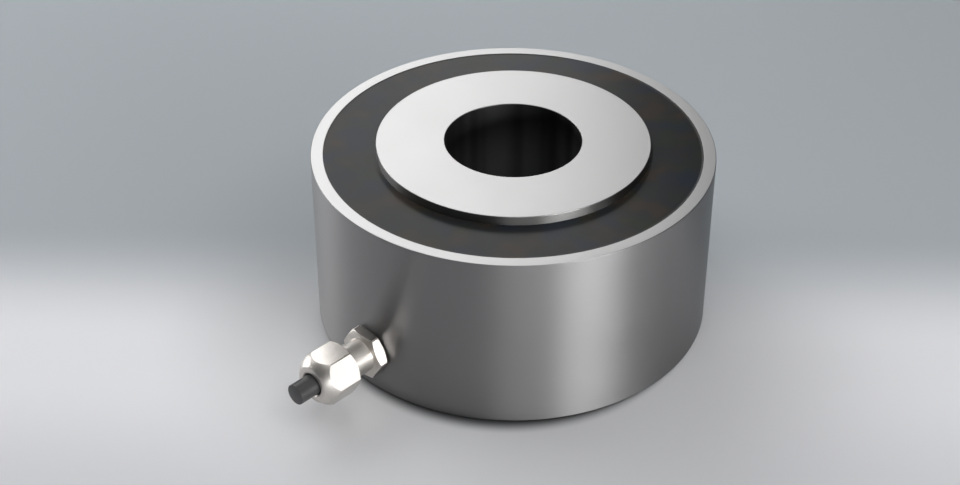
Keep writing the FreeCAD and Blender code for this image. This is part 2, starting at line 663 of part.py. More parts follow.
def make_dome_nut():
    """Hexagonal nut: domed front, chamfered rear, thread, inner cone and a mouth for the cable."""
    body = start_body("dome_nut", ALONG_GLAND)
    add_hexagon(body, "hexagon", NUT_CORNER_R, NUT_REAR, "nut_length")
    dome_r = f"({NUT_CORNER_R} + dome_margin)"
    reach = f"({NUT_CORNER_R} + chamfer_reach)"
    front_drop = f"sqrt({dome_r} ^ 2 - nut_face_radius ^ 2)"
    side_drop = f"sqrt({dome_r} ^ 2 - {reach} ^ 2)"
    outside_dome = [
        ("nut_face_radius", NUT_FRONT), (reach, f"{NUT_FRONT} - {front_drop} + {side_drop}"),
        (reach, NUT_FRONT),
    ]
    turn(body, "dome", outside_dome, {0: (dome_r, -1)}, cut=True)
    chamfer_hexagon(body, "rear_chamfer", NUT_CORNER_R, "nut_rear_radius", NUT_REAR, "nut_rear_slope", "+")
    inside = [
        ("0", NUT_REAR), (TAPPED_R, NUT_REAR), (TAPPED_R, CONE_START), (MOUTH_R, CONE_END),
        (MOUTH_R, f"{NUT_FRONT} - mouth_chamfer"), (f"{MOUTH_R} + mouth_chamfer", NUT_FRONT),
        ("0", NUT_FRONT),
    ]
    turn(body, "inside", inside, cut=True)
    return body


GAUGE_ANGLES = {1: -90, 2: 0, 3: 90, 4: 180}
# name: diameter, side of the cable's axis, up or down from it, steps of the solder point
CORES = {
    "core_excitation_plus": ("core_diameter", -1, 1, 2),
    "core_excitation_minus": ("core_diameter", 1, 1, 2),
    "core_signal_plus": ("core_diameter", -1, -1, 0),
    "core_signal_minus": ("core_diameter", 1, -1, 0),
    "shield_drain": ("drain_diameter", 0, 0, 1),
}

nodes = [make_housing_sleeve(), make_spring_element(), make_flange_o_ring()]
nodes += [make_cover_ring(), make_potting_seal()]
for gauge_number, gauge_angle in GAUGE_ANGLES.items():
    nodes.append(make_strain_gauge(gauge_number, gauge_angle))
    nodes.append(make_gauge_lead(gauge_number, gauge_angle))
nodes += [make_terminal_board(), make_board_spacers(), make_board_screws(), make_trim_resistors()]
nodes += [make_core(name, *facts) for name, facts in CORES.items()]
nodes += [make_cable(), make_gland_body(), make_gland_o_ring(), make_sealing_insert()]
nodes += [make_clamping_cage(), make_dome_nut()]
doc.recompute()

failed = [item.Label for item in doc.Objects if {"Invalid", "Error"} & set(item.State)]
failed += [node.Label for node in nodes if node.Shape.isNull() or not node.Shape.isValid()]
if failed:
    raise ValueError(f"failed: {failed}")

os.makedirs("parts", exist_ok=True)
for node in nodes:
    node.Shape.exportStep(f"parts/{node.Label}.step")
    box = node.Shape.BoundBox
    lows, highs = (box.XMin, box.YMin, box.ZMin), (box.XMax, box.YMax, box.ZMax)
    spans = [f"{axis} {low:.2f} {high:.2f}" for axis, low, high in zip("xyz", lows, highs)]
    print(f"{node.Label}: {len(node.Shape.Solids)} solids, {node.Shape.Volume:.1f} mm3,", *spans)
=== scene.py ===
# %% [markdown]
# Annular compression load cell, dressed for a photograph.
# The solids come in as a fixed frame, and this lesson builds the pieces that a viewer sees over
# them: turned steel, a filled groove, a small nickel-plated cable gland and a stub of cable.
# The frame is loaded first, because every piece takes its place and its size from it.

# %% load the frame
import math

import bmesh
import bpy
from mathutils import Matrix, Vector


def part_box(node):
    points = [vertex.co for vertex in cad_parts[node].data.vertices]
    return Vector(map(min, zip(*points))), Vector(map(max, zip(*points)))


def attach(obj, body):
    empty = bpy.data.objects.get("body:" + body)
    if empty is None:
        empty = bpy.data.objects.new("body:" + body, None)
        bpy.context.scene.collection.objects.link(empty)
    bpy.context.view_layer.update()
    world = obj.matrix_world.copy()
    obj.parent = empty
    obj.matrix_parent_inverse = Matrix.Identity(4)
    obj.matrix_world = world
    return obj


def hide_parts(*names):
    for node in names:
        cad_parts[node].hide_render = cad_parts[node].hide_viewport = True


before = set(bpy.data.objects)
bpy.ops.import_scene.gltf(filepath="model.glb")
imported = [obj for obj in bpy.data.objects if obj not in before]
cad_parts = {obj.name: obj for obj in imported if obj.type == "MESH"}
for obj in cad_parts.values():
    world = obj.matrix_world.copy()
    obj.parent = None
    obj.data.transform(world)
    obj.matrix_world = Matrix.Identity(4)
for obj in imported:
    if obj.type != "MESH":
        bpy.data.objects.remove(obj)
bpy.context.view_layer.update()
MM = 0.001
print("nodes in the frame:", len(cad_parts))

# %% [markdown]
# The cell is turned round the bore's axis, so two numbers place every ring: a radius and a level.
# They could be typed in, but reading them from the frame keeps the pieces on the solids.
# Only widths that no box gives, such as a wall, a shoulder or a gap, are written down here.

# %% levels and radii in millimetres
X, Y, Z = 0, 1, 2
RING_R, BORE_R = 39.0, 19.5
SEAT, FIT_GAP, COVER_THICKNESS = 1.0, 0.02, 1.2
EDGE, FOOT_EDGE = 0.14, 0.45


def span(node, axis):
    """Lowest and highest value of a node along one axis, in millimetres."""
    low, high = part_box(node)
    return low[axis] / MM, high[axis] / MM


def outwards(node):
    """Inner and outer end of a node along the gland, which points along -Y."""
    low, high = span(node, Y)
    return -high, -low


sleeve_r = span("housing_sleeve", X)[1]
sleeve_foot, rim_top = span("housing_sleeve", Z)
ring_top = span("spring_element", Z)[1]
flange_r = span("spring_element", X)[1]
flange_top = span("board_spacers", Z)[0]
fill_r = span("potting_seal", X)[1]
fill_foot, fill_top = span("potting_seal", Z)
gland_level = sum(span("cable", Z)) / 2
rim_r = fill_r + FIT_GAP
cavity_r = rim_r - SEAT
cover_seat = fill_foot - COVER_THICKNESS
print("sleeve", sleeve_r, "rim", rim_top, "ring", ring_top, "gland level", gland_level)

# %% [markdown]
# The photograph was taken with a long lens from above, so the camera is worked out from three
# things: where it looks, how far off it stands, and the two angles of its line of sight.
# Three small turns then put the object where the picture has it, a little right of the middle.

# %% the camera
LOOK_AT = Vector((0, 0, rim_top * MM))
DISTANCE = 0.5159
AZIMUTH, ELEVATION = math.radians(42.81), math.radians(32.29)
AIM_SIDE, AIM_UP, ROLL = math.radians(1.011), math.radians(3.031), math.radians(0.661)
LENS = 67.94
QUARTER_TURN = math.pi / 2


def turn(angle, axis):
    return Matrix.Rotation(angle, 4, axis)


def facing_from(azimuth, elevation):
    """Turn of a camera or lamp that looks at the object from an azimuth and an elevation."""
    return turn(azimuth, "Z") @ turn(QUARTER_TURN - elevation, "X")


camera = bpy.data.objects.new("camera", bpy.data.cameras.new("camera"))
bpy.context.scene.collection.objects.link(camera)
bpy.context.scene.camera = camera
camera.data.lens = LENS
facing = facing_from(AZIMUTH, ELEVATION)
line_of_sight = facing @ Vector((0, 0, 1))
aim = turn(AIM_SIDE, "Y") @ turn(-AIM_UP, "X") @ turn(ROLL, "Z")
camera.matrix_world = Matrix.Translation(LOOK_AT + line_of_sight * DISTANCE) @ facing @ aim
print("camera at", [round(value, 4) for value in camera.matrix_world.translation])

# %% [markdown]
# Every finish here is a formula rather than a picture, and formulas read best as arithmetic.
# The nodes could be placed one by one, but a small class that wraps a socket lets 1 - mask or
# grain * 0.2 add the Math nodes by itself.

# %% sockets as numbers
class Channel:
    """A socket of a finish; arithmetic on it adds Math nodes."""

    def __init__(self, finish, socket):
        self.finish, self.socket = finish, socket

    def math(self, operation, *values):
        sockets = dict(enumerate(values))
        return self.finish.node("ShaderNodeMath", {"operation": operation}, sockets)

    def __add__(self, other):
        return self.math("ADD", self, other)

    def __sub__(self, other):
        return self.math("SUBTRACT", self, other)

    def __rsub__(self, other):
        return self.math("SUBTRACT", other, self)

    def __mul__(self, other):
        return self.math("MULTIPLY", self, other)

    __radd__ = __add__
    __rmul__ = __mul__

    def root(self):
        return self.math("SQRT", self)

    def angle(self, other):
        return self.math("ARCTAN2", self, other)

    def mixed_with(self, other, share):
        """Weighted mean; share is how much of it comes from this channel."""
        return self * share + other * (1 - share)

    def above(self, low, high):
        """0 below low, 1 above high, and smooth between them."""
        settings = {"interpolation_type": "SMOOTHSTEP"}
        sockets = {"Value": self, "From Min": low, "From Max": high}
        return self.finish.node("ShaderNodeMapRange", settings, sockets)


# %% [markdown]
# A finish is one material with one shader. What is the same all over a piece is set on the
# shader's own sockets, and only what changes from place to place comes from nodes.
# One method places any node: its settings first, because they can change which sockets it has,
# then the values or links of its sockets.

# %% a finish
class Finish:
    """A procedural material with one shader."""

    def __init__(self, name, **constants):
        """Constants are socket names in small letters, such as specular_ior_level."""
        self.material = bpy.data.materials.new(name)
        self.material.use_nodes = True
        self.tree = self.material.node_tree
        self.shader = self.tree.nodes["Principled BSDF"]
        for words, value in constants.items():
            self.set(words.replace("_", " ").title().replace("Ior", "IOR"), value)

    def set(self, socket, value):
        self.feed(self.shader.inputs[socket], value)

    def feed(self, socket, value):
        if isinstance(value, Channel):
            self.tree.links.new(value.socket, socket)
        elif socket.type == "RGBA":
            socket.default_value = (*value, 1.0)
        else:
            socket.default_value = value

    def node(self, kind, settings=None, sockets=None, output=0):
        """Add a node: settings first, then the values or links of its sockets."""
        added = self.tree.nodes.new(kind)
        for name, value in (settings or {}).items():
            setattr(added, name, value)
        for key, value in (sockets or {}).items():
            self.feed(added.inputs[key], value)
        return Channel(self, added.outputs[output])

    def place(self):
        """Object coordinates: metres in the frame."""
        return self.node("ShaderNodeTexCoord", output="Object")

    def axes(self, vector):
        parts = self.node("ShaderNodeSeparateXYZ", None, {0: vector})
        return [Channel(self, socket) for socket in parts.socket.node.outputs]

    def vector(self, x, y, z):
        return self.node("ShaderNodeCombineXYZ", None, {0: x, 1: y, 2: z})

    def noise(self, vector, scale, detail, roughness=0.5):
        sockets = {"Vector": vector, "Scale": scale, "Detail": detail, "Roughness": roughness}
        return self.node("ShaderNodeTexNoise", None, sockets)

    def blend(self, factor, first, second):
        """Mix two colours."""
        sockets = {0: factor, 6: first, 7: second}
        return self.node("ShaderNodeMix", {"data_type": "RGBA"}, sockets, output=2)

    def roughen(self, middle, *drifts):
        """Roughness round a middle value; each drift is a noise and how far it reaches in all."""
        lowest = middle - sum(reach for _, reach in drifts) / 2
        self.set("Roughness", sum((noise * reach for noise, reach in drifts), lowest))

    def bump(self, height, distance, strength):
        sockets = {"Height": height, "Distance": distance, "Strength": strength}
        self.set("Normal", self.node("ShaderNodeBump", None, sockets))


# %% [markdown]
# Turning leaves a fine groove that runs round the axis, and it is this groove that draws a lamp
# out into the upright bands on the sleeve's side. The grooves could be cut in the mesh, but they
# are a few thousandths of a millimetre deep, so they belong in the finish: a noise that is
# stretched round the axis. Anisotropy, turned by a quarter, spreads the gloss across the grooves
# and not along them.

# %% turned steel
GROOVE_SCALE, GROOVE_SWEEP, GROOVE_DEPTH = 9000.0, 0.35, 0.000004
ACROSS_GROOVES = 0.25
CLOUD_NOISE = 60.0
TURNED_SHADE = 0.86


def darker(colour, share):
    return [part * share for part in colour]


def lay_round_axis(finish):
    """Coordinates that change fast across the turning grooves and slowly along them."""
    x, y, z = finish.axes(finish.place())
    radius = (x * x + y * y).root()
    sweep = y.angle(x)
    return finish.vector(radius * GROOVE_SCALE, sweep * GROOVE_SWEEP, z * GROOVE_SCALE)


def turned_steel(name, colour, roughness, anisotropic):
    """Steel as the lathe tool leaves it, lightly polished."""
    steel = Finish(name, metallic=1.0, anisotropic=anisotropic,
                   anisotropic_rotation=ACROSS_GROOVES)
    lay = steel.noise(lay_round_axis(steel), 1.0, detail=3.0)
    clouds = steel.noise(steel.place(), CLOUD_NOISE, detail=3.0)
    dark = darker(colour, TURNED_SHADE)
    steel.set("Base Color", steel.blend(clouds.mixed_with(lay, share=0.5), dark, colour))
    steel.roughen(roughness, (clouds, 0.06), (lay, 0.08))
    steel.bump(lay, GROOVE_DEPTH, strength=0.35)
    return steel.material


# Painted shade: the polished side and the ring's side are set darker than the ground faces of the
# same steel, which darkens the bands that they mirror.
side_steel = turned_steel("sleeve_side", (0.253, 0.2495, 0.2505), 0.40, anisotropic=0.82)
inner_steel = turned_steel("machined_inside", (0.42, 0.42, 0.41), 0.38, anisotropic=0.5)
ring_side_steel = turned_steel("ring_side", (0.24, 0.24, 0.235), 0.32, anisotropic=0.85)
print("turned:", side_steel.name, inner_steel.name, ring_side_steel.name)

# %% [markdown]
# The faces that take the load are ground flat, which leaves a fine even grain with no direction.
# A plain colour with one roughness would do from far off, but close up a face without any grain
# looks like plastic, so a very fine noise moves the colour, the gloss and the bump together.

# %% ground steel
GRAIN_NOISE, GRAIN_DEPTH = 5200.0, 0.000006
GROUND_SHADE = 0.93


def ground_steel(name, colour, roughness):
    """Steel ground flat: a fine even grain with no direction of its own."""
    steel = Finish(name, metallic=1.0)
    grain = steel.noise(steel.place(), GRAIN_NOISE, detail=4.0, roughness=0.65)
    clouds = steel.noise(steel.place(), CLOUD_NOISE, detail=2.0)
    dark = darker(colour, GROUND_SHADE)
    steel.set("Base Color", steel.blend(grain.mixed_with(clouds, share=0.6), dark, colour))
    steel.roughen(roughness, (grain, 0.10), (clouds, 0.05))
    steel.bump(grain, GRAIN_DEPTH, strength=0.3)
    return steel.material


face_steel = ground_steel("ground_face", (0.482, 0.479, 0.478), 0.42)
print("ground:", face_steel.name)

# %% [markdown]
# The bore is left as the drill made it, and its colour is painted shade, nearly black, with
# faint upright bands of painted reflection. A lamp inside could show them, but the light there
# would leak over the rim, so the colour does it: a noise with no height in it runs straight
# down, and the painted light grows a little with depth.

# %% bore steel with painted shade
REFLECTION_NOISE, REFLECTION_LOW, REFLECTION_HIGH, REFLECTION_SHARE = 160.0, 0.35, 0.65, 0.5
LIGHT_AT_TOP, LIGHT_WITH_DEPTH, LIGHT_REACH = 0.045, 0.28, 22
BLACK, WHITE = (0, 0, 0), (1, 1, 1)


def shaded_bore_steel(name, top, reach):
    """Painted shade on steel; from its top, painted light grows a little over a reach down."""
    steel = Finish(name, metallic=1.0, roughness=0.62)
    x, y, z = steel.axes(steel.place())
    # painted reflection bands over painted shade, and painted light that grows with depth
    upright = steel.vector(x * REFLECTION_NOISE, y * REFLECTION_NOISE, 0.0)
    painted_reflection = steel.noise(upright, 1.0, detail=1.0).above(REFLECTION_LOW, REFLECTION_HIGH)
    depth = 1.0 - z.above(top - reach, top)
    painted_light = (depth * LIGHT_WITH_DEPTH + LIGHT_AT_TOP) * (painted_reflection * REFLECTION_SHARE + (1 - REFLECTION_SHARE))
    steel.set("Base Color", steel.blend(painted_light, BLACK, WHITE))
    return steel.material


bore_steel = shaded_bore_steel("darkened_bore", ring_top * MM, LIGHT_REACH * MM)
print("shaded:", bore_steel.name)

# %% [markdown]
# The rings are all made one way: draw half the cross-section, ease its corners, and spin it.
# No machined edge is perfectly sharp, and it is the eased edge that catches the light. Easing
# the corners after the spin would mean long loops of edges, but before it, it costs one bevel on
# a flat face.

# %% the corners of a section
SHARP, ON_AXIS = math.radians(40), 1e-9


def section(bm, corners):
    """Flat face in the XZ plane through corners given as radius and level."""
    verts = [bm.verts.new((radius * MM, 0, level * MM)) for radius, level in corners]
    bm.faces.new(verts)
    return verts


def on_axis(vert):
    return abs(vert.co.x) < ON_AXIS


def corner_angle(vert):
    """How far the outline turns at a corner."""
    ends = [edge.other_vert(vert).co - vert.co for edge in vert.link_edges]
    return math.pi - ends[0].angle(ends[1])


def cut_corners(bm, verts, offset, segments):
    """Chamfer with one segment, or round off with more."""
    bmesh.ops.bevel(bm, geom=verts, offset=offset * MM, offset_type="OFFSET",
                    segments=segments, profile=0.5, affect="VERTICES", material=-1)


# %% [markdown]
# A spin keeps every radius true and gives clean loops round the axis, where a boolean of
# cylinders would leave long thin triangles that show in a reflection.
# The flat face has done its work when its corners are cut, so it goes, and only its outline is
# spun. Fillets are measured before the chamfers, while every corner still has its own angle.

# %% spin a section
SEGMENTS, FILLET_STEPS, EASE_STEPS = 256, 5, 2
EASE, FILLET = 0.06, 1.5
MERGE = 1e-7


def drop_axis_edges(bm):
    """An edge on the axis would spin into nothing."""
    on_it = [edge for edge in bm.edges if all(on_axis(vert) for vert in edge.verts)]
    bmesh.ops.delete(bm, geom=on_it, context="EDGES")


def turned(corners, chamfers=None, fillets=(), ease=EASE, segments=SEGMENTS):
    """Spin a section round Z.

    Chamfers give a size for the number of a corner, and fillets list the numbers of corners.
    """
    bm = bmesh.new()
    verts = section(bm, corners)
    rounded = [(verts[number], FILLET * math.tan(corner_angle(verts[number]) / 2))
               for number in fillets]
    for number, size in (chamfers or {}).items():
        cut_corners(bm, [verts[number]], size, 1)
    for vert, tangent in rounded:
        cut_corners(bm, [vert], tangent, FILLET_STEPS)
    if ease:
        sharp = [vert for vert in bm.verts if corner_angle(vert) > SHARP and not on_axis(vert)]
        cut_corners(bm, sharp, ease, EASE_STEPS)
    bmesh.ops.delete(bm, geom=bm.faces[:], context="FACES_ONLY")
    drop_axis_edges(bm)
    bmesh.ops.spin(bm, geom=bm.verts[:] + bm.edges[:], axis=(0, 0, 1), cent=(0, 0, 0),
                   dvec=(0, 0, 0), angle=math.tau, steps=segments, use_merge=True,
                   use_duplicate=False)
    bmesh.ops.remove_doubles(bm, verts=bm.verts, dist=MERGE)
    bmesh.ops.recalc_face_normals(bm, faces=bm.faces)
    return bm


# %% [markdown]
# A finished mesh becomes a piece in one place. It is shaded smooth except at real edges, and
# weighted normals keep the large flat faces flat next to their narrow eased corners, which is
# what makes a machined piece look crisp. Each piece then says what it rides on, what it stands
# for and its finish.

# %% make a piece
def piece(name, bm, finishes, stands_for, paint=None):
    """Turn a mesh into a piece; paint(face) says which of its finishes a face has."""
    if paint:
        for face in bm.faces:
            face.material_index = finishes.index(paint(face))
    mesh = bpy.data.meshes.new(name)
    bm.to_mesh(mesh)
    bm.free()
    mesh.shade_smooth()
    mesh.set_sharp_from_angle(angle=SHARP)
    made = bpy.data.objects.new(name, mesh)
    bpy.context.scene.collection.objects.link(made)
    for finish in finishes:
        mesh.materials.append(finish)
    weighted = made.modifiers.new("flat_faces_stay_flat", "WEIGHTED_NORMAL")
    weighted.keep_sharp = True
    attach(made, "root")
    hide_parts(stands_for)
    low, high = [[round(pick(vert.co[axis] for vert in mesh.vertices) / MM, 2)
                  for axis in (X, Y, Z)] for pick in (min, max)]
    print(f"{name}: {len(mesh.polygons)} faces, from {low} to {high} mm")


# %% [markdown]
# Holes are drilled last, as in the workshop. Where a round hole goes through a round wall, its
# edge is a curve that no spin or extrude gives, so this is the one place for a boolean: closed
# cylinders are cut out of the closed mesh.

# %% drill holes
DRILL_SEGMENTS, OVERRUN = 64, 1
along_gland = Matrix.Translation((0, 0, gland_level * MM)) @ turn(QUARTER_TURN, "X")


def drill(radius, start, end, along=along_gland, segments=DRILL_SEGMENTS):
    """Closed cylinder on the Z axis of a placement."""
    bm = bmesh.new()
    bmesh.ops.create_cone(bm, cap_ends=True, segments=segments, radius1=radius * MM,
                          radius2=radius * MM, depth=(end - start) * MM)
    shift = Matrix.Translation((0, 0, (start + end) / 2 * MM))
    bmesh.ops.transform(bm, matrix=along @ shift, verts=bm.verts)
    return bm


def bore_out(bm, cutters):
    """Cut closed meshes out of a closed mesh."""
    meshes = []
    for solid in [bm, *cutters]:
        mesh = bpy.data.meshes.new("scratch")
        solid.to_mesh(mesh)
        solid.free()
        meshes.append(mesh)
    blank, *tools = [bpy.data.objects.new("scratch", mesh) for mesh in meshes]
    for scratch in (blank, *tools):
        bpy.context.scene.collection.objects.link(scratch)
    for tool in tools:
        cut = blank.modifiers.new("cut", "BOOLEAN")
        cut.operation, cut.solver, cut.object = "DIFFERENCE", "EXACT", tool
    bored = bmesh.new()
    bored.from_object(blank, bpy.context.evaluated_depsgraph_get())
    for scratch in (blank, *tools):
        bpy.data.objects.remove(scratch)
    return bored


# %% [markdown]
# The sleeve is a tube with a shoulder inside for the cover. Its side is turned and polished, and
# its rim is ground. Two pieces would leave a seam between them, so it is one piece with several
# finishes, told apart by where a face is and which way it looks.
# The gland's hole is cut last. Two level cuts, one below it and one above, first confine the cut
# faces to a short band, so that the polished wall beyond keeps its long clean strips.

# %% the sleeve
THREAD_R, SEAL_SECTION, COLLAR_GAP = 4.7, 1.2, 0.1
BAND = 6.4
INNER_OVERRUN, INSIDE_MARGIN = 5, 0.5
LEVEL_FACE = 0.9
TAPPED_R = THREAD_R + FIT_GAP
collar_rear = sleeve_r + COLLAR_GAP
seal_seat = collar_rear - SEAL_SECTION

sleeve = turned([
    (cavity_r, sleeve_foot), (sleeve_r, sleeve_foot), (sleeve_r, rim_top),
    (rim_r, rim_top), (rim_r, cover_seat), (cavity_r, cover_seat),
], chamfers={0: FOOT_EDGE, 1: FOOT_EDGE, 2: EDGE})
for level in (gland_level - BAND, gland_level + BAND):
    everything = sleeve.verts[:] + sleeve.edges[:] + sleeve.faces[:]
    bmesh.ops.bisect_plane(sleeve, geom=everything, plane_co=(0, 0, level * MM),
                           plane_no=(0, 0, 1))
tapped_hole = drill(TAPPED_R, cavity_r - INNER_OVERRUN, sleeve_r + OVERRUN)
spot_face = drill(TAPPED_R + SEAL_SECTION + FIT_GAP, seal_seat, sleeve_r + OVERRUN)
sleeve = bore_out(sleeve, [tapped_hole, spot_face])


def sleeve_finish(face):
    centre = face.calc_center_median()
    if face.normal.z > LEVEL_FACE and centre.z > (rim_top - EDGE) * MM:
        return face_steel
    inside = math.hypot(centre.x, centre.y) < (fill_r + INSIDE_MARGIN) * MM
    return inner_steel if inside else side_steel


piece("sleeve_skin", sleeve, [side_steel, face_steel, inner_steel], "housing_sleeve",
      sleeve_finish)

# %% [markdown]
# The spring element is the part that is squeezed: loading ring, waisted column and flange from
# one bar. Only the ring and the bore are seen from above and the flange from below. A plain tube
# would do for that, but the piece stands for the whole solid, so the hidden column is turned too.

# %% the spring element
FOOT_R, WAIST_R, TAPER, SKIRT = 31.0, 29.0, 3.0, 5.0
GROOVE_CUT, GROOVE_WIDTH = 1.6, 2.2
skirt_foot, skirt_r = cover_seat - SKIRT, RING_R + SEAT
groove_r = cavity_r - GROOVE_CUT
groove_low, groove_high = (flange_top - GROOVE_WIDTH) / 2, (flange_top + GROOVE_WIDTH) / 2

spring = turned([
    (BORE_R, 0), (flange_r, 0), (flange_r, groove_low), (groove_r, groove_low),
    (groove_r, groove_high), (flange_r, groove_high), (flange_r, flange_top),
    (FOOT_R, flange_top), (FOOT_R, flange_top + TAPER), (WAIST_R, flange_top + 2 * TAPER),
    (WAIST_R, skirt_foot - 2 * TAPER), (FOOT_R, skirt_foot - TAPER), (FOOT_R, skirt_foot),
    (skirt_r, skirt_foot), (skirt_r, cover_seat), (RING_R, cover_seat), (RING_R, ring_top),
    (BORE_R, ring_top),
], chamfers={0: FOOT_EDGE, 1: FOOT_EDGE, 16: EDGE, 17: EDGE}, fillets=(7, 8, 9, 10, 11, 12))
print("spring element turned:", len(spring.faces), "faces")

# %% [markdown]
# Four screws hold the circuit board on the flange, so the flange has their four tapped holes.
# They sit on the corners of a square, which is read from the screws' own box.
# The element then has four finishes, and a face's place tells which of them it gets.

# %% the spring element's screw holes and finishes
SCREW_R, HEAD_R, SCREW_DEPTH, SCREW_SEGMENTS = 1.25, 2.25, 4.1, 32
WALL_MARGIN = 0.02
screw_at = (span("board_screws", X)[1] - HEAD_R) * MM
sides = (-screw_at, screw_at)
screw_holes = [
    drill(SCREW_R, flange_top - SCREW_DEPTH, flange_top + OVERRUN,
          Matrix.Translation((x, y, 0)), SCREW_SEGMENTS)
    for x in sides for y in sides
]
spring = bore_out(spring, screw_holes)


def spring_finish(face):
    centre = face.calc_center_median()
    radius, level = math.hypot(centre.x, centre.y) / MM, centre.z / MM
    if abs(face.normal.z) > LEVEL_FACE and (level > ring_top - EDGE or level < EDGE):
        return face_steel
    if radius < BORE_R + WALL_MARGIN:
        return bore_steel
    return ring_side_steel if level > cover_seat else inner_steel


spring_finishes = [face_steel, bore_steel, ring_side_steel, inner_steel]
piece("spring_skin", spring, spring_finishes, "spring_element", spring_finish)

# %% [markdown]
# The groove between ring and rim is cast full of a dark compound. A casting compound wets the
# steel and creeps up it a little, so the surface is level but turns up within a millimetre of
# each wall. Its colour drifts faintly between green, brown and blue greys. One noise read as a
# ramp of colours would draw contour lines, so each tint has a noise of its own, read at another
# place.

# %% the filling
CREEP, LOW_CREEP, CREEP_NEAR, CREEP_FAR = 0.1, 0.03, 0.3, 0.8
DRIFT_NOISE, DRIFT_APART, DRIFT_LOW, DRIFT_HIGH = 100.0, 0.3, 0.46, 0.72
RIPPLE_NOISE, RIPPLE_DEPTH = 160.0, 0.00004
GREY, GREEN_GREY = (0.0195, 0.0205, 0.0215), (0.020, 0.024, 0.017)
BROWN_GREY, BLUE_GREY = (0.030, 0.024, 0.019), (0.016, 0.020, 0.028)

filling = turned([
    (RING_R + FIT_GAP, fill_foot), (fill_r, fill_foot), (fill_r, fill_top + CREEP),
    (fill_r - CREEP_NEAR, fill_top + LOW_CREEP), (fill_r - CREEP_FAR, fill_top),
    (RING_R + CREEP_FAR, fill_top), (RING_R + CREEP_NEAR, fill_top + LOW_CREEP),
    (RING_R + FIT_GAP, fill_top + CREEP),
], ease=0)

resin = Finish("filling_compound", ior=1.5, specular_ior_level=0.095)
colour = GREY
for number, tint in enumerate((GREEN_GREY, BROWN_GREY, BLUE_GREY)):
    x, y, z = resin.axes(resin.place())
    moved = resin.vector(x + number * DRIFT_APART, y, z)
    drift = resin.noise(moved, DRIFT_NOISE, detail=1.0)
    colour = resin.blend(drift.above(DRIFT_LOW, DRIFT_HIGH), colour, tint)
resin.set("Base Color", colour)
ripple = resin.noise(resin.place(), RIPPLE_NOISE, detail=1.0)
resin.roughen(0.24, (ripple, 0.08))
resin.bump(ripple, RIPPLE_DEPTH, strength=0.25)
piece("filling_skin", filling, [resin.material], "potting_seal")

# %% [markdown]
# The gland's body and nut are turned from hexagon bar. Their flats could be drawn first and the
# ends turned with booleans, but here the turning comes first: a blank is spun with its domed or
# chamfered ends, and six flats are then cut off it. The blank reaches to the hexagon's corners,
# and a dome is an arc in its outline.

# %% blanks for hexagons
GLAND_SEGMENTS = 120


def arc(centre, radius, start, end, steps):
    """Points of an arc round a centre on the axis, from one level to another."""
    levels = [start + (end - start) * step / steps for step in range(steps + 1)]
    return [(math.sqrt(radius ** 2 - (level - centre) ** 2), level) for level in levels]


def corner_of(across):
    """Radius of a hexagon's corners from its size across the flats."""
    return across / math.sqrt(3)


def lay_along_gland(bm):
    """Lay down a piece of the gland that was spun upright."""
    bmesh.ops.transform(bm, matrix=along_gland, verts=bm.verts)
    return bm


# %% [markdown]
# Each flat is cut with one plane that throws away what lies outside it, and one face closes the
# hole. Where a flat meets the dome, the curved edge comes out by itself. A narrow facet comes off
# each corner in the same way, and the creases are eased last, because a bevel before the cuts
# would be cut away with the rest.

# %% mill the flats
FLATS, FLAT_CORNERS = 6, 20
CORNER_FACET = 0.12
CREASE = math.radians(8)
CUT_SNAP, CUT_MERGE = 1e-8, 1e-6


def is_flat(face):
    """A milled flat keeps every step of the round that it was cut from in its outline."""
    return len(face.verts) > FLAT_CORNERS


def mill_flats(bm, across, turned_by=0.0):
    """Cut six flats, take a narrow facet off each corner between them, and ease the edges."""
    step = math.tau / FLATS
    corner_reach = corner_of(across) - CORNER_FACET
    flats = [(step * (number + 0.5) + turned_by, across / 2) for number in range(FLATS)]
    corners = [(step * number + turned_by, corner_reach) for number in range(FLATS)]
    for angle, reach in flats + corners:
        normal = Vector((math.cos(angle), math.sin(angle), 0))
        everything = bm.verts[:] + bm.edges[:] + bm.faces[:]
        sliced = bmesh.ops.bisect_plane(bm, geom=everything, dist=CUT_SNAP, clear_outer=True,
                                        plane_co=normal * reach * MM, plane_no=normal)
        loop = [item for item in sliced["geom_cut"] if isinstance(item, bmesh.types.BMEdge)]
        bmesh.ops.edgeloop_fill(bm, edges=loop)
    bmesh.ops.remove_doubles(bm, verts=bm.verts, dist=CUT_MERGE)
    bmesh.ops.recalc_face_normals(bm, faces=bm.faces)
    outlines = [edge for face in bm.faces if is_flat(face) for edge in face.edges]
    creases = dict.fromkeys(edge for edge in outlines if edge.calc_face_angle(0) > CREASE)
    bmesh.ops.bevel(bm, geom=list(creases), offset=EASE * MM, offset_type="OFFSET",
                    segments=EASE_STEPS, profile=0.5, affect="EDGES", material=-1,
                    clamp_overlap=True)


# %% [markdown]
# Nickel plating keeps the surface that it is laid on, so one colour, slightly warm, has three
# finishes: milled flats are bright, the turned neck and dome are softer, and a bore is dull.
# Three colours would be the quick way to tell them apart, but on the real gland only the gloss
# differs.

# %% nickel
POLISH_NOISE, POLISH_DEPTH, BRUSH_NOISE = 420.0, 0.000006, 2600.0
NICKEL_DARK, NICKEL_LIGHT = (0.56, 0.53, 0.495), (0.64, 0.61, 0.575)
BORED_R = 3.75


def nickel(name, roughness):
    plating = Finish(name, metallic=1.0)
    polish = plating.noise(plating.place(), POLISH_NOISE, detail=3.0)
    brushing = plating.noise(plating.place(), BRUSH_NOISE, detail=2.0)
    plating.set("Base Color", plating.blend(polish, NICKEL_DARK, NICKEL_LIGHT))
    plating.roughen(roughness, (polish, 0.04), (brushing, 0.02))
    plating.bump(polish, POLISH_DEPTH, strength=0.15)
    return plating.material


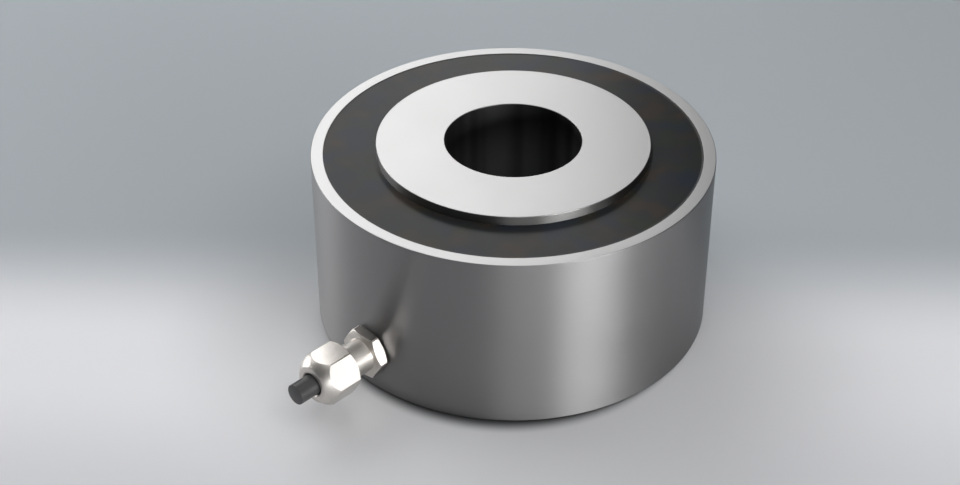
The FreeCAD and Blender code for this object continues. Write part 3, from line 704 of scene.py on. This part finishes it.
milled_nickel = nickel("milled_nickel", 0.25)
turned_nickel = nickel("turned_nickel", 0.41)
bored_nickel = nickel("bored_nickel", 0.63)
gland_finishes = [milled_nickel, turned_nickel, bored_nickel]
print("nickel finishes:", len(gland_finishes))


def gland_finish(face):
    """Flats are milled bright, the round outside is turned, and a bore is left dull."""
    if is_flat(face):
        return milled_nickel
    centre = face.calc_center_median() / MM
    bored = math.hypot(centre.x, centre.z - gland_level) < BORED_R
    return bored_nickel if bored else turned_nickel


# %% [markdown]
# The gland's body screws into the sleeve. From the inside outwards it has an entry thread, a
# hexagonal collar for the spanner, a plain neck and a thread for the nut. Nothing shows of the
# threads, so plain cylinders at half their depth take the place of helices. The collar is
# chamfered on both faces, and its hexagon stands a little turned against the nut's, because the
# two are tightened one by one.

# %% the gland body
NECK_R, GLAND_BORE_R, NECK_GAP = 5.0, 3.15, 0.35
COLLAR_FLATS, COLLAR_WIDTH, COLLAR_FACE_R, COLLAR_SLOPE = 13.4, 3.4, 6.5, 0.577
COLLAR_TURN = math.radians(-2.4)
SEAT_R, SEAT_DEPTH = 4.1, 10.1
nut_rear, nut_front = outwards("dome_nut")
entry_end, body_front = outwards("gland_body")
collar_front = collar_rear + COLLAR_WIDTH
collar_corner = corner_of(COLLAR_FLATS)
setback = (collar_corner - COLLAR_FACE_R) * COLLAR_SLOPE
neck_end = nut_rear - NECK_GAP
seat_end = body_front - SEAT_DEPTH

gland = turned([
    (GLAND_BORE_R, entry_end), (THREAD_R, entry_end), (THREAD_R, collar_rear),
    (COLLAR_FACE_R, collar_rear), (collar_corner, collar_rear + setback),
    (collar_corner, collar_front - setback), (COLLAR_FACE_R, collar_front),
    (NECK_R, collar_front), (NECK_R, neck_end), (THREAD_R, neck_end), (THREAD_R, body_front),
    (SEAT_R, body_front), (SEAT_R, seat_end), (GLAND_BORE_R, seat_end),
], segments=GLAND_SEGMENTS)
mill_flats(gland, COLLAR_FLATS, COLLAR_TURN)
piece("gland_skin", lay_along_gland(gland), gland_finishes, "gland_body",
      gland_finish)

# %% [markdown]
# The nut squeezes a rubber bush round the cable. Its front is a dome that runs out into the
# flats, so the blank's outline gets an arc where the collar's has a chamfer. A sphere that is cut
# with the hexagon by a boolean gives the same form, but a poorer mesh. Inside, a cone presses the
# fingers of a cage down on the bush.

# %% the domed nut
NUT_FLATS, NUT_FACE_R, NUT_REAR_R, NUT_SLOPE = 14.0, 5.1, 6.95, 0.84
MOUTH_R, MOUTH_CHAMFER = 3.3, 0.4
DOME_MARGIN, DOME_STEPS, NUT_EASE = 0.5, 14, 0.05
CAGE_FLANGE, CONE_LENGTH = 0.8, 3.0
nut_corner = corner_of(NUT_FLATS)
dome_r = nut_corner + DOME_MARGIN
dome_centre = nut_front - math.sqrt(dome_r ** 2 - NUT_FACE_R ** 2)
dome_foot = dome_centre + math.sqrt(dome_r ** 2 - nut_corner ** 2)
cone_start = body_front + CAGE_FLANGE

nut = turned([
    (TAPPED_R, nut_rear), (NUT_REAR_R, nut_rear),
    (nut_corner, nut_rear + (nut_corner - NUT_REAR_R) * NUT_SLOPE),
    *arc(dome_centre, dome_r, dome_foot, nut_front, DOME_STEPS),
    (MOUTH_R + MOUTH_CHAMFER, nut_front), (MOUTH_R, nut_front - MOUTH_CHAMFER),
    (MOUTH_R, cone_start + CONE_LENGTH), (TAPPED_R, cone_start),
], segments=GLAND_SEGMENTS, ease=NUT_EASE)
mill_flats(nut, NUT_FLATS)
piece("nut_skin", lay_along_gland(nut), gland_finishes, "dome_nut", gland_finish)

# %% [markdown]
# The cable is a stub, cut square a few millimetres outside the nut, so it is a plain rod with a
# barely broken edge. A curve with a round profile would do as well, but it is straight, and a
# spin closes its ends. The jacket is matt: a fine pitted grain, and shallow drawing marks along
# its length.

# %% the cable
CABLE_R, CABLE_SEGMENTS, CABLE_EASE = 3.0, 96, 0.15
PIT_NOISE, JACKET_DEPTH = 2400.0, 0.00003
DRAWN_ACROSS, DRAWN_ALONG = 900.0, 40.0
JACKET_DARK, JACKET_LIGHT = (0.020, 0.020, 0.021), (0.036, 0.036, 0.037)
cable_start, cable_end = outwards("cable")

cable = turned([(0, cable_start), (CABLE_R, cable_start), (CABLE_R, cable_end), (0, cable_end)],
               segments=CABLE_SEGMENTS, ease=CABLE_EASE)
jacket = Finish("cable_jacket", ior=1.5)
pits = jacket.noise(jacket.place(), PIT_NOISE, detail=3.0, roughness=0.6)
x, y, z = jacket.axes(jacket.place())
along_cable = jacket.vector(x * DRAWN_ACROSS, y * DRAWN_ALONG, z * DRAWN_ACROSS)
drawn = jacket.noise(along_cable, 1.0, detail=2.0)
jacket.set("Base Color", jacket.blend(pits, JACKET_DARK, JACKET_LIGHT))
jacket.roughen(0.43, (pits, 0.14))
jacket.bump(pits.mixed_with(drawn, share=0.6), JACKET_DEPTH, strength=0.4)
piece("cable_skin", lay_along_gland(cable), [jacket.material], "cable")

# %% [markdown]
# What is sealed inside is never seen in this picture, but the model can be opened, so each piece
# gets the finish that it has on the bench. Each could have nodes of its own, but one function
# covers them all: a base colour, a second tint that a noise drifts to, and a fine bump.

# %% a plain finish
PLAIN_NOISE, BOARD_NOISE, PLAIN_DEPTH = 900.0, 1800.0, 0.00001


def plain(name, colour, tint, roughness, metallic=0.0, scale=PLAIN_NOISE):
    """A simple finish with some life in it."""
    finish = Finish(name, metallic=metallic)
    grain = finish.noise(finish.place(), scale, detail=3.0)
    finish.set("Base Color", finish.blend(grain, colour, tint))
    finish.roughen(roughness, (grain, 0.12))
    finish.bump(grain, PLAIN_DEPTH, strength=0.3)
    return finish.material


# %% [markdown]
# The sealed pieces keep the meshes of the solids and only change their material: a green board,
# brass spacers, coloured cores. One table says which node gets which, and pieces that are alike
# share one, which is less to bake than a copy for each.

# %% finishes of the sealed pieces
inside = {
    "cover_ring":
        plain("cover_steel", (0.42, 0.42, 0.42), (0.50, 0.50, 0.49), 0.35, metallic=1.0),
    "terminal_board":
        plain("board_green", (0.012, 0.15, 0.05), (0.02, 0.22, 0.08), 0.35, scale=BOARD_NOISE),
    "board_spacers":
        plain("spacer_brass", (0.60, 0.42, 0.16), (0.72, 0.53, 0.24), 0.3, metallic=1.0),
    "board_screws":
        plain("screw_steel", (0.45, 0.45, 0.45), (0.58, 0.57, 0.56), 0.3, metallic=1.0),
    "trim_resistors":
        plain("resistor_glaze", (0.015, 0.015, 0.02), (0.04, 0.04, 0.045), 0.25),
    "clamping_cage":
        plain("cage_nylon", (0.66, 0.64, 0.58), (0.76, 0.74, 0.69), 0.5),
    "core_excitation_plus":
        plain("core_red", (0.45, 0.012, 0.012), (0.6, 0.02, 0.02), 0.35),
    "core_excitation_minus":
        plain("core_black", (0.012, 0.012, 0.012), (0.025, 0.025, 0.025), 0.35),
    "core_signal_plus":
        plain("core_green", (0.015, 0.26, 0.05), (0.02, 0.36, 0.08), 0.35),
    "core_signal_minus":
        plain("core_white", (0.68, 0.68, 0.66), (0.8, 0.8, 0.78), 0.35),
    "shield_drain":
        plain("drain_wire", (0.55, 0.50, 0.42), (0.68, 0.64, 0.58), 0.28, metallic=1.0),
}
nitrile = plain("nitrile", (0.010, 0.010, 0.010), (0.022, 0.022, 0.022), 0.6)
carrier = plain("gauge_foil", (0.42, 0.20, 0.03), (0.56, 0.32, 0.07), 0.4)
lead_coat = plain("lead_coat", (0.48, 0.32, 0.10), (0.60, 0.44, 0.18), 0.4)
for node in ("flange_o_ring", "gland_o_ring", "sealing_insert"):
    inside[node] = nitrile
for number in (1, 2, 3, 4):
    inside[f"strain_gauge_{number}"] = carrier
    inside[f"gauge_lead_{number}"] = lead_coat
for node, finish in inside.items():
    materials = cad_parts[node].data.materials
    materials.clear()
    materials.append(finish)
print("finished inside:", len(inside))

# %% [markdown]
# The floor is one pale sheet that runs far past the picture's edges. A curved backdrop would
# hide the horizon too, but the camera looks down so steeply that a flat sheet is enough.

# %% the floor's sheet
FLOOR_HALF = 6.0
floor_mesh = bmesh.new()
bmesh.ops.create_grid(floor_mesh, x_segments=1, y_segments=1, size=FLOOR_HALF)
sheet = bpy.data.meshes.new("floor")
floor_mesh.to_mesh(sheet)
floor_mesh.free()
floor = bpy.data.objects.new("floor", sheet)
bpy.context.scene.collection.objects.link(floor)
print("floor:", 2 * FLOOR_HALF, "m wide")

# %% [markdown]
# The floor's paint is painted light: it goes from a cool grey behind the cell to a pale painted
# band of light in front and beside it, a little darker again towards the camera, which gives the
# picture its quiet gradient, and it has a painted soft shadow round the cell's foot.
# Broad lamps leave hardly any shadow under the cell's front edge, and without one it seems to
# float, so the paint has a narrow dark ring there, a painted contact shadow.
# Far out the lamps no longer reach. There the sheet shows an even tone of its own, which lights
# nothing: only the camera and the mirror images in metal or glass see it.

# %% the floor's paint
# Painted shade and light: the shade ring is a painted contact shadow, the near circle a painted
# soft shadow round the foot, and the paler middle of the open floor a painted band of light.
SHADE_CENTRE, SHADE_EDGE = (0.0043, -0.0067), (0.0492, 0.0547)
NEAR_CENTRE, NEAR_EDGE = (0.0082, -0.0088), (0.067, 0.11)
FAR_CENTRE, FAR_EDGE = (0.0, 0.0), (0.28, 0.5)
FRONT_EDGE, BACK_EDGE = (-0.09, -0.04), (-0.022, 0.036)
shade_paint, foot_shadow_paint = (0.07, 0.072, 0.075), (0.64, 0.645, 0.66)
front_paint, light_band_paint = (0.65, 0.655, 0.68), (0.765, 0.77, 0.795)
back_paint = (0.38, 0.41, 0.435)
front_tone, back_tone = (0.56, 0.57, 0.59), (0.355, 0.38, 0.40)

paint = Finish("floor_paint", roughness=0.8, specular_ior_level=0.0, emission_strength=1.0)
floor_x, floor_y, _ = paint.axes(paint.place())


def distance_from(x, y):
    """Distance on the floor from a point."""
    across, along = floor_x - x, floor_y - y
    return (across * across + along * along).root()


ahead = floor_x * -math.sin(AZIMUTH) + floor_y * math.cos(AZIMUTH)
behind = ahead.above(*BACK_EDGE)
# a painted contact shadow inside a painted soft shadow round the cell's foot
foot = paint.blend(distance_from(*SHADE_CENTRE).above(*SHADE_EDGE), shade_paint, foot_shadow_paint)
# the open floor's paler middle is a painted band of light
open_floor = paint.blend(ahead.above(*FRONT_EDGE), front_paint, light_band_paint)
front = paint.blend(distance_from(*NEAR_CENTRE).above(*NEAR_EDGE), foot, open_floor)
lit = paint.blend(behind, front, back_paint)
tone = paint.blend(behind, front_tone, back_tone)
far = distance_from(*FAR_CENTRE).above(*FAR_EDGE)
rays = paint.node("ShaderNodeLightPath").socket.node.outputs
kinds = ("Camera", "Glossy", "Transmission")
seen = sum(Channel(paint, rays[f"Is {kind} Ray"]) for kind in kinds).above(0.0, 1.0)
paint.set("Base Color", paint.blend(far, lit, BLACK))
paint.set("Emission Color", paint.blend(far * seen, BLACK, tone))
sheet.materials.append(paint.material)
print("floor painted, even tone from", FAR_EDGE[1], "m")

# %% [markdown]
# Polished steel shows its surroundings, so the lamps are placed by what each face mirrors. The
# flat tops look at the air behind the cell, where a lamp stands to the left. The sleeve's side
# shows a broad lamp to the right of the camera, with three faint ones that soften its edges, and
# another far round to the left, with dark air between them. Those stand low, so a grid narrows
# their beam and keeps it off the floor at their feet. The glint is for one flat of the nut
# alone. The lamp overhead and the two high ones fill in the edges and even out the floor.

# %% the lamps
OPEN, GRID = math.pi, math.radians(60)
LIT_POINT = Matrix.Translation((0, 0, 0.03))

# name, azimuth and elevation in degrees, distance, width and height in metres, watts, spread
LAMPS = (
    ("overhead", 0, 88, 1.2, 1.1, 1.1, 5.3, OPEN),
    ("back_left", -160, 36, 0.75, 0.6, 0.4, 2.1, OPEN),
    ("left_high", -118, 40, 0.75, 0.5, 0.27, 1.2, OPEN),
    ("left", -112, 4, 1.0, 0.5, 0.1375, 0.43, GRID),
    ("right_high", 48, 52, 0.9, 0.5, 0.3, 1.2, OPEN),
    ("right_front", 41, 5, 0.85, 0.56, 0.22, 0.90, GRID),
    ("right_wide_6", 6, 4, 0.85, 0.42, 0.156, 0.16, GRID),
    ("right_wide_34", 34, 4, 0.85, 0.42, 0.156, 0.12, GRID),
    ("right_wide_62", 62, 4, 0.85, 0.42, 0.156, 0.03, GRID),
    ("right_glint", 70, 10, 0.47, 0.08, 0.10, 0.08, OPEN),
)


def softbox(name, azimuth, elevation, away, width, height, power, spread):
    """Area lamp that faces the cell; azimuth is counted from the camera's side, to the right."""
    lamp = bpy.data.lights.new(name, "AREA")
    lamp.shape, lamp.size, lamp.size_y = "RECTANGLE", width, height
    lamp.energy, lamp.spread = power, spread
    holder = bpy.data.objects.new(name, lamp)
    bpy.context.scene.collection.objects.link(holder)
    towards = facing_from(AZIMUTH + math.radians(azimuth), math.radians(elevation))
    holder.matrix_world = LIT_POINT @ towards @ Matrix.Translation((0, 0, away))


for lamp in LAMPS:
    softbox(*lamp)
print("lamps:", len(LAMPS))

# %% [markdown]
# The world is the dark studio round the lamps. It could be black, but a little grey keeps the
# steel from turning black where it mirrors no lamp and no floor.

# %% the world
STUDIO_GREY = (0.05, 0.051, 0.053, 1)
world = bpy.data.worlds.new("studio")
bpy.context.scene.world = world
world.use_nodes = True
background = world.node_tree.nodes["Background"].inputs
background["Color"].default_value = STUDIO_GREY
background["Strength"].default_value = 1.0
bpy.context.scene.view_settings.view_transform = "Standard"
print("world:", world.name, "view:", bpy.context.scene.view_settings.view_transform)
